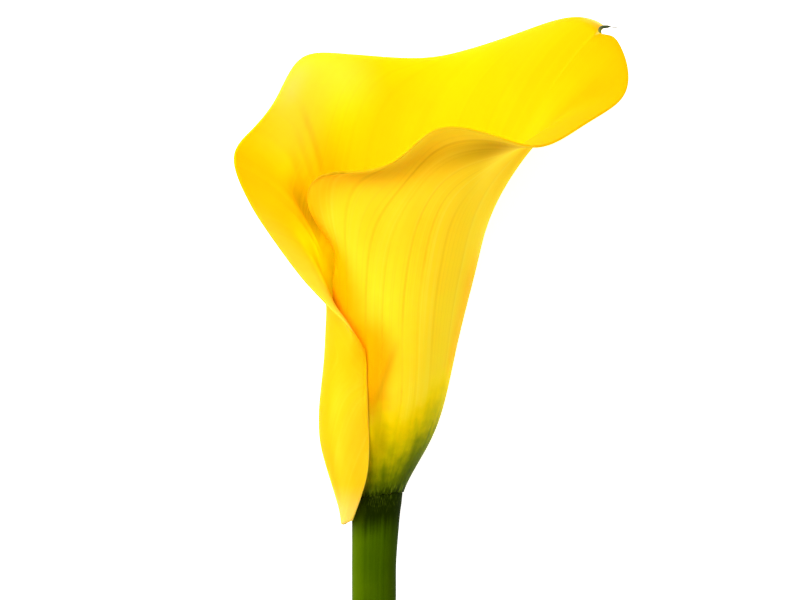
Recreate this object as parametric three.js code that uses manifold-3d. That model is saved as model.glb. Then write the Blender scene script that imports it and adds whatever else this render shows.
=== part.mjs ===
// A cut calla lily lying on its back, in millimetres, +Z up.
//
// The flower is first laid out upright in a frame of its own: x to the right, y up along the stem
// from the collar where spathe and stem meet, z toward the viewer. lay() then tips it onto the
// table, where it rests on the rolled-back rim of the spathe and on the end of the stem.

import * as THREE from "three";
import { NURBSCurve } from "three/addons/curves/NURBSCurve.js";
import { mergeVertices } from "three/addons/utils/BufferGeometryUtils.js";
import Module from "manifold-3d";

// How it lies
const TILT = THREE.MathUtils.degToRad(8.1);
const COLLAR_LIFT = 21.6; // height of the flower's axis over the table, at the collar
const FOOTPRINT_MIDDLE = [12.4, -14.92]; // of the whole lying flower
const CLEARANCE = 0.35; // between two pieces that touch on the real flower

// Spathe: one sheet, rolled once and a fifth round the axis. s runs across it, from the outer
// margin round by the left, back, right and front to the inner margin; t runs from base to rim.
const SHEET_BASE = 1.2;
const SHEET_RIM = 0.64;
const THINS_UP_TO = 0.8; // t at which it has its rim's thickness
const MARGIN_WIDTH = 0.04; // share of the sheet over which it thins toward a side margin
const COLUMN_RUNS = [
  [0.3, 27],
  [0.536, 13],
  [0.555, 6],
  [1, 24],
]; // s at the end of each run, and the columns in it
const ROWS = 24;
const ROW_EASE = 0.8; // below one, rows crowd toward the rim
const INNER_ANGLE = 445; // of the inner margin, in degrees from the front round by the left
const INNER_STEP = 1.7; // how far the inner layer is tucked in under the outer one
const INNER_TUCK = [322, 370]; // degrees over which it goes in under the outer layer
const OUTER_FADE = [120, 200]; // degrees over which the outer layer stops standing off
const COLLAR_HEIGHT = -0.96;
const COLLAR_SLOPE = 1.2;
const COLLAR_HIGH_SIDE = 300; // degrees from the front
const FLAP_DROP = 5.9; // how far the outer corner hangs below the collar
const FLAP_CORNER = 40; // degrees from the front
const FLAP_FALL = [-60, 75]; // degrees over which the lower margin falls to that corner
const FLAP_RISE = [80, 170]; // degrees over which it rises to the collar again
const TUBE_ROWS = [1.7, 6.5, 12.5, 21]; // heights that each line of the sheet passes near

// Rolled tube: height, x of its middle, radius, and how far the outer layer stands off
const TUBE = [
  [-12, -1.5, 4.8, 2.6],
  [-8, -1.3, 4.9, 2.6],
  [-4, -0.9, 5, 4.1],
  [0, -0.5, 5.6, 4.7],
  [3, -0.2, 6.2, 4.9],
  [6, 0, 7.8, 4.5],
  [9, 0, 9.7, 3.8],
  [12, 0, 11.6, 2.6],
  [15, 0.1, 13.1, 1.6],
  [18, 0.3, 14.1, 0.8],
  [21, 0.6, 14.7, 0.3],
  [24, 1.1, 14.9, 0.1],
  [28, 1.7, 15.1, 0],
  [34, 2.5, 15.3, 0],
  [40, 3.1, 15.9, 0],
  [45, 4.1, 16.2, 0.4],
  [50, 5.1, 16.5, 0.8],
  [55, 5.9, 17.5, 1.2],
  [60, 6.1, 18.2, 3.4],
  [65, 6, 19.9, 6.5],
  [70, 5.6, 20.9, 8.8],
  [75, 5.4, 21.4, 9.8],
  [80, 5.2, 21.8, 9.8],
];

// Outer margin: height, and degrees from the front
const FLAP_MARGIN = [
  [-8, 48],
  [-6, 38],
  [-4, 27],
  [-1, 21],
  [3, 16],
  [6, 12],
  [10, 9.5],
  [16, 10],
  [22, 11],
  [29, 17],
  [34, 20],
  [46, 24],
  [80, 30],
];

// Throat: s, and the height where the tube opens into the limb
const THROAT = [
  [0, 28.3],
  [0.04, 32.6],
  [0.085, 38.9],
  [0.1, 40.8],
  [0.135, 46.1],
  [0.16, 50.4],
  [0.215, 58.1],
  [0.3, 66.5],
  [0.41, 73.7],
  [0.5, 73.7],
  [0.6, 72.5],
  [0.67, 72.5],
  [0.74, 73.7],
  [0.81, 70.1],
  [0.89, 67.7],
  [0.965, 64.1],
  [1, 59.3],
];

// Limb: s, the place of its rim, and the place of the shoulder under it that steers its roll
const RIM = [
  [0, -3.1, 34.3, 15.9, -3, 32.2, 15.7],
  [0.02, -4.9, 36.9, 16.3, -4, 35.1, 16],
  [0.04, -6.8, 39, 16.2, -5.5, 37.8, 15.7],
  [0.065, -9.1, 41.6, 15.1, -7, 41.6, 13.9],
  [0.085, -11.5, 43.8, 13, -9.2, 44.9, 11.5],
  [0.1, -13.2, 45.6, 11, -10.6, 47.5, 9.1],
  [0.135, -19.8, 52.8, 5.3, -14.1, 55.2, 1.9],
  [0.16, -26.8, 62.4, 1.9, -18.1, 61.8, -4.3],
  [0.19, -31.9, 70.6, 0, -21.9, 69.1, -7.7],
  [0.215, -35.2, 79.8, -1.9, -24.9, 77.2, -10.8],
  [0.245, -31, 87.5, -6.7, -22.1, 86.4, -14.4],
  [0.27, -26.3, 93.9, -12.5, -19, 93.2, -18.2],
  [0.295, -23.3, 100.5, -19.2, -16.7, 98.9, -23],
  [0.312, -20.4, 105.4, -25, -14, 102.5, -25.4],
  [0.335, -14.6, 107.6, -31, -10.1, 106.4, -27.1],
  [0.37, -4, 106.8, -36.8, -1.4, 109.8, -30],
  [0.41, 9.8, 106.2, -37, 10.3, 109.2, -30.7],
  [0.45, 22.3, 108.6, -36.8, 20.7, 110.3, -28.3],
  [0.485, 35.9, 113, -31.5, 32, 112.3, -25.2],
  [0.52, 48, 115.6, -24, 42.2, 113.2, -20.4],
  [0.545, 55, 113, -19, 47.9, 109.5, -16.7],
  [0.57, 59.6, 106, -14, 49.6, 104, -12.7],
  [0.6, 59, 95.6, -6, 47, 96, -8.4],
  [0.6175, 54.7, 91.7, -2.4, 42.4, 92.4, -6.2],
  [0.635, 49.6, 88.5, 1.2, 37.4, 89, -3.6],
  [0.67, 39.2, 82.7, 9.6, 30.4, 84, 6],
  [0.705, 29.4, 83.6, 19.2, 28.2, 83.8, 14.9],
  [0.74, 20.6, 85.8, 26.4, 20.5, 85.1, 20.4],
  [0.775, 12.2, 85.2, 28.3, 12.5, 84.3, 22.3],
  [0.81, 4.8, 79.2, 26.9, 5.3, 79.5, 22.1],
  [0.85, -4, 76.1, 24, -3.4, 76.5, 20.6],
  [0.89, -11.6, 75.8, 18.7, -10.2, 75.7, 16.8],
  [0.93, -16.2, 73.7, 12, -15.1, 72.6, 12],
  [0.965, -17.1, 69.4, 5.3, -16.2, 67.5, 5.3],
  [1, -14.9, 64.1, -1.2, -13.9, 61.7, -1.2],
];

// Tip of the spathe: a nick in the rim, with a small green point growing out of it
const TIP = 0.5455; // its s
const NICK_DEPTH = 1.7;
const NICK_WIDTH = 0.0045;

// Green point: x, y, z and radius along it
const POINT = [
  [52.9, 112, -18.3, 0.45],
  [53.9, 112.6, -18.6, 0.6],
  [55.1, 113.1, -18.9, 0.5],
  [56.3, 113.3, -18.8, 0.3],
  [58.2, 113.2, -18.4, 0.15],
];
const POINT_SIDES = 10;

// Spadix: a finger packed with florets
const SPADIX_BASE = 3.3;
const SPADIX_TOP = 60;
const SPADIX_RADIUS = 3.9;
const SPADIX_TAPER = 0.5;
const SPADIX_TIP = 7; // length of its rounded end
const SPADIX_X = -0.4; // of its foot
const SPADIX_LEAN = 0.09; // how it follows the throat toward the right
const FLORETS_ROUND = 10;
const FLORET_TIERS = 17;
const FLORET_STEPS = 4; // rings up, and sides round, for each floret
const FLORET_RELIEF = 0.55;

// Stem: height, x and radius down to the straight stretch
const STEM_TOP = [
  [-2, -0.8, 5.95],
  [-4, -1, 5.7],
  [-7, -1.3, 5.5],
  [-11.5, -1.5, 5.35],
  [-17, -1.55, 5.2],
];
const STEM_RADIUS = 5.2;
const STEM_X = -1.55;
const STEM_END = -146;
const STEM_BEND_FROM = -86; // below this it curves until it lies flat
const STEM_LEAN = -0.03; // sideways drift below the bend
const STEM_CUT_SLOPE = 0.7;
const STEM_SIDES = 28;
const STEM_STEPS = 9;
const NECK_RADIUS = 4.4; // of the short neck that the spathe wraps
const NECK_TOP = 2.9;
const NECK_CHAMFER = 0.7;

// Colours
const SPATHE_YELLOW = "#fcd926";
const SPADIX_YELLOW = "#eeb41c";
const STEM_GREEN = "#47640f";

const cosDeg = (angle) => Math.cos(THREE.MathUtils.degToRad(angle));
const sinDeg = (angle) => Math.sin(THREE.MathUtils.degToRad(angle));
const { lerp, smoothstep } = THREE.MathUtils;

// A natural cubic spline through rows of [x, value, value, ...]
function splineThrough(rows) {
  const x = rows.map((row) => row[0]);
  const columns = rows[0].slice(1).map((_, k) => rows.map((row) => row[k + 1]));
  const bends = columns.map((y) => naturalBends(x, y));
  const last = x.length - 2;
  return (at) => {
    let i = x.findIndex((value) => value > at) - 1;
    i = i < 0 ? (at < x[0] ? 0 : last) : i;
    const h = x[i + 1] - x[i];
    const p = (x[i + 1] - at) / h;
    const q = 1 - p;
    return columns.map((y, k) => {
      const bow = (p ** 3 - p) * bends[k][i] + (q ** 3 - q) * bends[k][i + 1];
      return p * y[i] + q * y[i + 1] + (bow * h * h) / 6;
    });
  };
}

// Second derivatives of that spline at its knots, straight at both ends
function naturalBends(x, y) {
  const n = x.length;
  const carry = new Array(n).fill(0);
  const bends = new Array(n).fill(0);
  for (let i = 1; i < n - 1; i++) {
    const before = x[i] - x[i - 1];
    const after = x[i + 1] - x[i];
    const kink = 6 * ((y[i + 1] - y[i]) / after - (y[i] - y[i - 1]) / before);
    const pivot = 2 * (before + after) - before * carry[i - 1];
    carry[i] = after / pivot;
    bends[i] = (kink - before * bends[i - 1]) / pivot;
  }
  for (let i = n - 2; i > 0; i--) {
    bends[i] -= carry[i] * bends[i + 1];
  }
  return bends;
}

// From the flower's upright frame to where it lies, with what touches the table pressed flat
function lay(point) {
  const laid = point.clone().applyAxisAngle(new THREE.Vector3(1, 0, 0), TILT);
  laid.z = Math.max(0, laid.z + COLLAR_LIFT);
  return laid;
}

const tubeAt = splineThrough(TUBE);
const flapMarginAt = splineThrough(FLAP_MARGIN);
const throatAt = splineThrough(THROAT);
const rimAt = splineThrough(RIM);

function angleAt(s, height) {
  return lerp(flapMarginAt(height)[0], INNER_ANGLE, s);
}

function tubePoint(s, height) {
  const angle = angleAt(s, height);
  const [middle, radius, stand] = tubeAt(height);
  const standing = stand * (1 - smoothstep(angle, ...OUTER_FADE));
  const tucked = Math.max(0, INNER_STEP - stand) * smoothstep(angle, ...INNER_TUCK);
  const r = radius + standing - tucked;
  return new THREE.Vector3(middle - r * sinDeg(angle), height, r * cosDeg(angle));
}

// Height of the collar round the axis, a slightly tilted ring
function collarAt(angle) {
  return COLLAR_HEIGHT + COLLAR_SLOPE * cosDeg(angle - COLLAR_HIGH_SIDE);
}

// Lower margin of the sheet: along the collar, and down round the hanging outer corner
function baseAt(s) {
  const angle = lerp(FLAP_CORNER, INNER_ANGLE, s);
  const hanging = smoothstep(angle, ...FLAP_FALL) * (1 - smoothstep(angle, ...FLAP_RISE));
  return collarAt(angle) - FLAP_DROP * hanging;
}

// Rim and shoulder, with the nick drawing the rim in toward the shoulder at the tip
function limbAt(s) {
  const [rimX, rimY, rimZ, shoulderX, shoulderY, shoulderZ] = rimAt(s);
  const shoulder = new THREE.Vector3(shoulderX, shoulderY, shoulderZ);
  const rim = new THREE.Vector3(rimX, rimY, rimZ);
  const inward = shoulder.clone().sub(rim).normalize();
  const nick = NICK_DEPTH * Math.exp(-(((s - TIP) / NICK_WIDTH) ** 2));
  return [shoulder, rim.addScaledVector(inward, nick)];
}

// One line of the sheet from base to rim
function ribAt(s) {
  const throat = throatAt(s)[0];
  const top = TUBE_ROWS[TUBE_ROWS.length - 1];
  const heights = [...TUBE_ROWS, ...[1, 2, 3].map((k) => lerp(top, throat, k / 3))];
  const points = [
    tubePoint(s, baseAt(s)),
    ...heights.map((height) => tubePoint(s, height)),
    ...limbAt(s),
  ];
  const spans = points.length - 3;
  const inner = Array.from({ length: spans - 1 }, (_, k) => k + 1);
  const knots = [0, 0, 0, 0, ...inner, spans, spans, spans, spans];
  const weighted = points.map((p) => new THREE.Vector4(p.x, p.y, p.z, 1));
  return new NURBSCurve(3, knots, weighted);
}

function thicknessAt(s, t) {
  const low = 1 - smoothstep(t, 0, THINS_UP_TO);
  const middle = smoothstep(Math.min(s, 1 - s), 0, MARGIN_WIDTH);
  return lerp(SHEET_RIM, SHEET_BASE, low * middle);
}

function columnPlaces() {
  const places = [0];
  for (const [end, count] of COLUMN_RUNS) {
    const start = places[places.length - 1];
    for (let k = 1; k <= count; k++) {
      places.push(lerp(start, end, k / count));
    }
  }
  return places;
}

// Corners of a grid as a closed skin: an outer and an inner face, joined along the four margins
function sheetGeometry() {
  const step = 0.002;
  const faces = [[], []];
  const places = columnPlaces();
  const columns = places.length - 1;
  for (const s of places) {
    const rib = ribAt(s);
    const before = ribAt(Math.max(0, s - step));
    const after = ribAt(Math.min(1, s + step));
    for (let j = 0; j <= ROWS; j++) {
      const t = (j / ROWS) ** ROW_EASE;
      const across = after.getPoint(t).sub(before.getPoint(t));
      const along = rib.getPoint(Math.min(1, t + step)).sub(rib.getPoint(Math.max(0, t - step)));
      const outward = along.cross(across).normalize();
      const half = thicknessAt(s, t) / 2;
      faces[0].push(lay(rib.getPoint(t).addScaledVector(outward, half)));
      faces[1].push(lay(rib.getPoint(t).addScaledVector(outward, -half)));
    }
  }
  const count = faces[0].length;
  const at = (i, j) => i * (ROWS + 1) + j;
  const index = [];
  for (let i = 0; i < columns; i++) {
    for (let j = 0; j < ROWS; j++) {
      const [a, b, c, d] = [at(i, j), at(i + 1, j), at(i + 1, j + 1), at(i, j + 1)];
      index.push(a, c, b, a, d, c);
      index.push(count + a, count + b, count + c, count + a, count + c, count + d);
    }
  }
  const margin = (a, b) => index.push(a, b, count + b, a, count + b, count + a);
  for (let i = 0; i < columns; i++) {
    margin(at(i, 0), at(i + 1, 0));
    margin(at(i + 1, ROWS), at(i, ROWS));
  }
  for (let j = 0; j < ROWS; j++) {
    margin(at(0, j + 1), at(0, j));
    margin(at(columns, j), at(columns, j + 1));
  }
  return closedGeometry([...faces[0], ...faces[1]], index);
}

function closedGeometry(points, index) {
  const geometry = new THREE.BufferGeometry().setFromPoints(points);
  geometry.setIndex(index);
  geometry.computeVertexNormals();
  return geometry;
}

// A closed skin over rings of points, with a middle point to close each end
function ringsGeometry(start, rings, end) {
  const sides = rings[0].length;
  const points = [start, ...rings.flat(), end].map(lay);
  const last = points.length - 1;
  const at = (ring, k) => 1 + ring * sides + (k % sides);
  const index = [];
  for (let k = 0; k < sides; k++) {
    index.push(0, at(0, k + 1), at(0, k));
    index.push(last, at(rings.length - 1, k), at(rings.length - 1, k + 1));
    for (let ring = 0; ring < rings.length - 1; ring++) {
      const [a, b] = [at(ring, k), at(ring, k + 1)];
      const [c, d] = [at(ring + 1, k + 1), at(ring + 1, k)];
      index.push(a, b, c, a, c, d);
    }
  }
  return closedGeometry(points, index);
}

// A ring round the flower's axis; height and radius may change with the angle
function ring(sides, x, z, heightAt, radiusAt) {
  return Array.from({ length: sides }, (_, k) => {
    const angle = (360 * k) / sides;
    const r = radiusAt(angle);
    return new THREE.Vector3(x - r * sinDeg(angle), heightAt(angle), z + r * cosDeg(angle));
  });
}

// The small green point, with round sections across its own run
function pointGeometry() {
  const places = POINT.map(([x, y, z]) => new THREE.Vector3(x, y, z));
  const rings = places.map((place, i) => {
    const ahead = places[Math.min(i + 1, places.length - 1)];
    const behind = places[Math.max(i - 1, 0)];
    const turn = new THREE.Quaternion().setFromUnitVectors(
      new THREE.Vector3(0, -1, 0),
      ahead.clone().sub(behind).normalize(),
    );
    const flat = ring(POINT_SIDES, 0, 0, () => 0, () => POINT[i][3]);
    return flat.map((p) => p.applyQuaternion(turn).add(place));
  });
  return ringsGeometry(places[0], rings, places[places.length - 1]);
}

function spadixGeometry() {
  const steps = FLORET_TIERS * FLORET_STEPS;
  const sides = FLORETS_ROUND * FLORET_STEPS;
  const length = SPADIX_TOP - SPADIX_BASE;
  const middleAt = (height) => SPADIX_X + SPADIX_LEAN * (height - SPADIX_BASE);
  const rings = [];
  for (let j = 0; j < steps; j++) {
    const up = j > 0 ? (j + 0.5) / steps : 0;
    const height = SPADIX_BASE + length * up;
    const toTip = Math.min(1, (SPADIX_TOP - height) / SPADIX_TIP);
    const round = Math.sqrt(1 - (1 - toTip) ** 2);
    const tier = (j + 0.5) / FLORET_STEPS;
    const reliefAt = (angle) => {
      const turn = (angle / 360) * FLORETS_ROUND + (Math.floor(tier) % 2) / 2;
      return FLORET_RELIEF * Math.abs(Math.sin(Math.PI * turn)) * Math.sin(Math.PI * (tier % 1));
    };
    const body = SPADIX_RADIUS - SPADIX_TAPER * up;
    const radiusAt = (angle) => (body + reliefAt(angle)) * round;
    rings.push(ring(sides, middleAt(height), 0, () => height, radiusAt));
  }
  rings.reverse();
  const top = new THREE.Vector3(middleAt(SPADIX_TOP), SPADIX_TOP, 0);
  const foot = new THREE.Vector3(middleAt(SPADIX_BASE), SPADIX_BASE, 0);
  return ringsGeometry(top, rings, foot);
}

function stemGeometry() {
  const neckX = tubeAt(0)[0];
  const shoulder = (angle) => collarAt(angle) - CLEARANCE;
  const rings = [
    ring(STEM_SIDES, neckX, 0, () => NECK_TOP, () => NECK_RADIUS - NECK_CHAMFER),
    ring(STEM_SIDES, neckX, 0, () => NECK_TOP - NECK_CHAMFER, () => NECK_RADIUS),
    ring(STEM_SIDES, neckX, 0, shoulder, () => NECK_RADIUS),
    ring(STEM_SIDES, STEM_TOP[0][1], 0, shoulder, () => STEM_TOP[0][2]),
  ];
  for (const [height, x, radius] of STEM_TOP.slice(1)) {
    rings.push(ring(STEM_SIDES, x, 0, () => height, () => radius));
  }
  const bend = STEM_BEND_FROM - STEM_END;
  const axisAt = (height) => {
    const past = Math.max(0, STEM_BEND_FROM - height);
    const x = STEM_X + STEM_LEAN * past;
    return [x, (Math.tan(TILT) * past * past) / (2 * bend)];
  };
  const halfway = (STEM_TOP[STEM_TOP.length - 1][0] + STEM_BEND_FROM) / 2;
  rings.push(ring(STEM_SIDES, STEM_X, 0, () => halfway, () => STEM_RADIUS));
  for (let k = 0; k < STEM_STEPS; k++) {
    const height = STEM_BEND_FROM - (bend * k) / STEM_STEPS;
    const [x, z] = axisAt(height);
    rings.push(ring(STEM_SIDES, x, z, () => height, () => STEM_RADIUS));
  }
  const [endX, endZ] = axisAt(STEM_END);
  const cut = (angle) => STEM_END + STEM_CUT_SLOPE * STEM_RADIUS * cosDeg(angle);
  rings.push(ring(STEM_SIDES, endX, endZ, cut, () => STEM_RADIUS));
  return ringsGeometry(
    new THREE.Vector3(neckX, NECK_TOP, 0),
    rings,
    new THREE.Vector3(endX, STEM_END, endZ),
  );
}

// Join two closed skins into one
async function joined(first, second) {
  const wasm = await Module();
  wasm.setup();
  const solids = [first, second].map((geometry) => {
    geometry.deleteAttribute("normal");
    const merged = mergeVertices(geometry);
    return new wasm.Manifold(
      new wasm.Mesh({
        numProp: 3,
        vertProperties: merged.attributes.position.array,
        triVerts: new Uint32Array(merged.index.array),
      }),
    );
  });
  const { vertProperties, triVerts } = solids[0].add(solids[1]).getMesh();
  const geometry = new THREE.BufferGeometry();
  geometry.setAttribute("position", new THREE.BufferAttribute(vertProperties, 3));
  geometry.setIndex(new THREE.BufferAttribute(triVerts, 1));
  geometry.computeVertexNormals();
  return geometry;
}

function piece(name, geometry, color, roughness) {
  const material = new THREE.MeshStandardMaterial({ color, roughness, metalness: 0 });
  const mesh = new THREE.Mesh(geometry, material);
  mesh.name = name;
  return mesh;
}

const flower = new THREE.Group();
flower.add(
  piece("spathe", await joined(sheetGeometry(), pointGeometry()), SPATHE_YELLOW, 0.5),
  piece("spadix", spadixGeometry(), SPADIX_YELLOW, 0.8),
  piece("stem", stemGeometry(), STEM_GREEN, 0.45),
);
flower.position.set(-FOOTPRINT_MIDDLE[0], -FOOTPRINT_MIDDLE[1], 0);

export default flower;
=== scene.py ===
"""A cut calla lily, lying on its back on a pale table and seen from above.

The flower is laid out upright in a frame of its own, in millimetres: x to the right, y up along
the stem from the collar where spathe and stem meet, z toward the viewer. lay() then tips it onto
the table, as the solids are.
"""

import math
import random

import bpy
import numpy as np
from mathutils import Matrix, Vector


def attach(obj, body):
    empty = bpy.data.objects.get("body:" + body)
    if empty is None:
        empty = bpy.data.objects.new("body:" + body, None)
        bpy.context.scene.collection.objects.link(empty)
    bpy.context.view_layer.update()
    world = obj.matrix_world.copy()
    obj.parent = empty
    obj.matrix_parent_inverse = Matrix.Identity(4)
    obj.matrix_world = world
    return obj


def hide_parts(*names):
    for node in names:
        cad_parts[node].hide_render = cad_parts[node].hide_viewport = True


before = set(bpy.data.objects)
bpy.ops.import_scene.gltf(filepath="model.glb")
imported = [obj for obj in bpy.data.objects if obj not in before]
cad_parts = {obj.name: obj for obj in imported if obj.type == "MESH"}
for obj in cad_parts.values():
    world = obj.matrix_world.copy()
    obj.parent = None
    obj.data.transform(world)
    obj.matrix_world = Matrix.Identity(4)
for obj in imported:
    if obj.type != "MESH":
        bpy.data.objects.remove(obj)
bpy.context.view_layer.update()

MM = 0.001

# How it lies
TILT = math.radians(8.1)
COLLAR_LIFT = 21.6  # height of the flower's axis over the table, at the collar
FOOTPRINT_MIDDLE = (12.4, -14.92)

# Camera, in the flower's frame: the view that shows it upright
CAMERA_PLACE = (4.8, 46.1, 800)
FIELD_WIDTH = 192  # width of the view at the flower's axis
SENSOR = 36
CLIPS = (0.01, 10)

# Spathe: one sheet, rolled once and a fifth round the axis. s runs across it, from the outer
# margin round by the left, back, right and front to the inner margin; t runs from base to rim.
SHEET_BASE = 1.2
SHEET_RIM = 0.64
THINS_UP_TO = 0.8  # t at which it has its rim's thickness
MARGIN_WIDTH = 0.04  # share of the sheet over which it thins toward a side margin
BLUNT = 3  # how much blunter than the rest its base margin is, where it sits on the stem
BLUNT_FROM = (0.25, 0.35)  # s over which that sets in
INNER_ANGLE = 445  # of the inner margin, in degrees from the front round by the left
INNER_STEP = 1.5  # how far the inner layer is tucked in under the outer one
INNER_TUCK = (326, 400)  # degrees over which it goes in under the outer layer
OUTER_FADE = (120, 200)  # degrees over which the outer layer stops standing off
COLLAR_HEIGHT = -0.96
COLLAR_SLOPE = 1.2
COLLAR_HIGH_SIDE = 300  # degrees from the front
FLAP_DROP = 5.9  # how far the outer corner hangs below the collar
FLAP_CORNER = 45  # degrees from the front
FLAP_FALL = (-60, 75)  # degrees over which the lower margin falls to that corner
FLAP_RISE = (94, 184)  # degrees over which it rises to the collar again
TUBE_ROWS = (1.7, 6.5, 12.5, 21)  # heights that each line of the sheet passes near

# Rolled tube: height, x of its middle, radius, and how far the outer layer stands off
TUBE = [
    (-12, -1.5, 4.8, 2.6),
    (-8, -1.3, 4.9, 2.6),
    (-4, -0.9, 5, 4.1),
    (0, -0.5, 5.6, 4.7),
    (3, -0.2, 6.2, 4.9),
    (6, 0, 7.8, 4.5),
    (9, 0, 9.7, 3.8),
    (12, 0, 11.6, 2.6),
    (15, 0.1, 13.1, 1.6),
    (18, 0.3, 14.1, 0.8),
    (21, 0.6, 14.7, 0.3),
    (24, 1.1, 14.9, 0.1),
    (28, 1.7, 15.1, 0),
    (34, 2.5, 15.3, 0),
    (40, 3.1, 15.9, 0),
    (45, 4.1, 16.2, 0.4),
    (50, 5.1, 16.5, 0.8),
    (55, 5.9, 17.5, 1.2),
    (60, 6.1, 18.2, 3.4),
    (65, 6, 19.9, 6.5),
    (70, 5.6, 20.9, 8.8),
    (75, 5.4, 21.4, 9.8),
    (80, 5.2, 21.8, 9.8),
]

# Outer margin: height, and degrees from the front
FLAP_MARGIN = [
    (-8, 57), (-7, 46), (-5.5, 37), (-3.8, 26.5), (-1.9, 20), (0, 17.4), (3, 16.2),
    (6, 12.8), (10, 10.9), (16, 11.9), (22, 14), (29, 19.2), (34, 20.6), (46, 24),
    (80, 30),
]

# Throat: s, and the height where the tube opens into the limb
THROAT = [
    (0, 28.3), (0.04, 32.6), (0.085, 38.9), (0.1, 40.8), (0.135, 46.1), (0.16, 50.4),
    (0.215, 58.1), (0.3, 66.5), (0.41, 73.7), (0.5, 73.7), (0.6, 72.5), (0.67, 72.5),
    (0.74, 73.7), (0.81, 70.1), (0.89, 67.7), (0.965, 64.1), (1, 59.3),
]

# Limb: s, the place of its rim, and the place of the shoulder under it that steers its roll
RIM = [
    (0, -3.1, 34.3, 14.7, -3, 32.2, 14.8),
    (0.02, -4.9, 36.9, 15.4, -4, 35.1, 15.3),
    (0.04, -6.8, 39, 15.8, -5.5, 37.8, 15.3),
    (0.065, -9.1, 41.6, 15.1, -7, 41.6, 13.9),
    (0.085, -11.5, 43.8, 13, -9.2, 44.9, 11.5),
    (0.1, -13.2, 45.6, 11, -10.6, 47.5, 9.1),
    (0.135, -19.8, 52.8, 5.3, -14.1, 55.2, 1.9),
    (0.16, -26.8, 62.4, 1.9, -18.1, 61.8, -4.3),
    (0.19, -31.9, 70.6, 0, -21.9, 69.1, -7.7),
    (0.215, -35.2, 79.8, -1.9, -24.9, 77.2, -10.8),
    (0.245, -31, 87.5, -6.7, -22.1, 86.4, -14.4),
    (0.27, -26.3, 93.9, -12.5, -19, 93.2, -18.2),
    (0.295, -23.3, 100.5, -19.2, -16.7, 98.9, -23),
    (0.312, -20.4, 105.4, -25, -14, 102.5, -25.4),
    (0.335, -14.6, 107.6, -31, -10.1, 106.4, -27.1),
    (0.37, -4, 106.8, -36.8, -1.4, 109.8, -30),
    (0.41, 9.8, 106.2, -37, 10.3, 109.2, -30.7),
    (0.45, 22.3, 108.6, -36.8, 20.7, 110.3, -28.3),
    (0.485, 35.9, 113, -31.5, 32, 112.3, -25.2),
    (0.52, 48, 115.9, -24, 42.2, 113.4, -20.4),
    (0.545, 55, 113.5, -19, 47.9, 109.7, -16.7),
    (0.57, 59.6, 106, -14, 49.6, 104, -12.7),
    (0.6, 59, 95.6, -6, 47, 96, -8.4),
    (0.6175, 54.7, 91.7, -2.4, 42.4, 92.4, -6.2),
    (0.635, 49.6, 88.5, 1.2, 37.4, 89, -3.6),
    (0.67, 39.2, 82.7, 9.6, 30.4, 84, 6),
    (0.705, 29.4, 83.6, 19.2, 28.2, 83.8, 14.9),
    (0.74, 20.6, 85.8, 26.4, 20.5, 85.1, 20.4),
    (0.775, 12.2, 85.2, 28.3, 12.5, 84.3, 22.3),
    (0.81, 4.8, 79.2, 26.9, 5.3, 79.5, 22.1),
    (0.85, -4, 76.1, 24, -3.4, 76.5, 20.6),
    (0.89, -11.6, 75.8, 18.7, -10.2, 75.7, 16.8),
    (0.93, -16.2, 73.7, 12, -15.1, 72.6, 12),
    (0.965, -17.1, 69.4, 5.3, -16.2, 67.5, 5.3),
    (1, -14.9, 64.1, -1.2, -13.9, 61.7, -1.2),
]

# Tip of the spathe: a nick in the rim, with a small green point growing out of it
TIP = 0.549  # its s
NICK_DEPTH = 2.3
NICK_WIDTHS = (0.0024, 0.005)  # before and past the tip

# Fine grid of the sheet: places close by each margin, to round its edge, and between them runs of
# even steps, each with the s or t where it ends and the number of its steps
COLUMNS_BY_MARGIN = (0.0004, 0.0012, 0.0025, 0.005)
COLUMN_RUNS = [(0.19, 64), (0.29, 64), (0.53, 84), (0.542, 7), (0.557, 30), (0.57, 7), (0.995, 152)]
ROWS_BY_MARGIN = (0.0006, 0.0015, 0.003, 0.006)
ROW_RUNS = [(0.45, 26), (0.8, 42), (0.994, 36)]

# Veins: they rise side by side up the tube, drift a little toward the inner margin, then sweep
# toward the tip
VEINS = 26
VEIN_DRIFT = 0.024
VEIN_DRIFTS = (0.42, 0.68)  # t over which they drift
VEIN_DRIFT_SIDE = (0.56, 0.66)  # s over which the drift sets in, round from the back
VEIN_SWEEP_FROM = 0.66  # t
VEIN_SWEEP = 12.4  # growth of the sweep with the distance past that t, to the power below
VEIN_SWEEP_POWER = 2.6
VEIN_SWEEP_MOST = 0.74
VEIN_SWEEP_FADE = (0.8, 0.93)  # veins over which the sweep gets weaker toward the inner margin
VEIN_SWEEP_LAST = 0.25
VEIN_WAVES = [(0.006, 33, 0.4), (0.0035, 74, 2.1)]  # size, rate and start of their unevenness
VEIN_STARTS = (1.6, 1200)  # s of the last one, past the inner margin, and how many are followed
FLAP_SLANT = 0.2  # they slant across the flap: s for each t
FLAP_SLANT_END = (0.1, 0.3)  # s over which the slant ends
VEIN_GROOVE = 0.035  # depth of their grooves
VEIN_GROOVE_WIDTH = 0.12  # in steps from one vein to the next
VEIN_GROOVE_FROM = 3  # distance from the margins at which they have their depth

# Rolled strip along the flap's free margin
BY_MARGIN = 0.1  # s up to which the sheet is by that margin
CURL_HEIGHTS = (13, 19, 33, 37)  # where it sets in, is full, starts to fade and ends
CURL_GROOVE = (0.98, 0.2, 0.16)  # distance from the margin, width and depth of the groove
CURL_LIFT = (0.45, 0.32, 0.14)  # and of the strip that stands up beside it

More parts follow.
